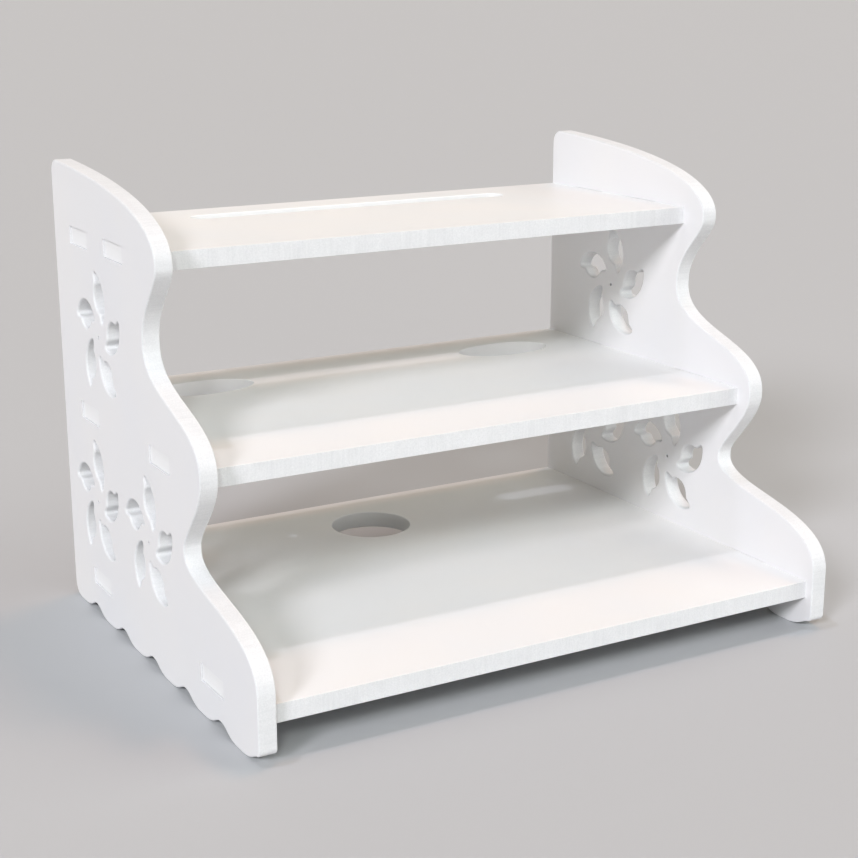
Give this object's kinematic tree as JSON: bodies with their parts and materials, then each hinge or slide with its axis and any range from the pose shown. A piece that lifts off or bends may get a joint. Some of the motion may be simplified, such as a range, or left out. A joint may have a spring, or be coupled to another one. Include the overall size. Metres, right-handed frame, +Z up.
{
  "type": "tiered organizer rack",
  "caption": "Stepped desktop rack of white board: wavy side panels with pinwheel cut-outs carry flat shelves that have cable openings.",
  "frame": {"origin": "on the supporting surface, under the middle of the rack (bottom centre of its box)", "axes": "+X across the rack to the right of someone facing its front, +Y towards its straight back edge, +Z up"},
  "size_m": [0.36, 0.276, 0.2676],
  "materials": {
    "foam_board": "white rigid foam board, satin skin with a finely grained cut edge"
  },
  "bodies": {
    "root": {"left_side_panel": "foam_board", "right_side_panel": "foam_board", "top_shelf": "foam_board", "middle_shelf": "foam_board", "bottom_shelf": "foam_board"}
  },
  "joints": []
}
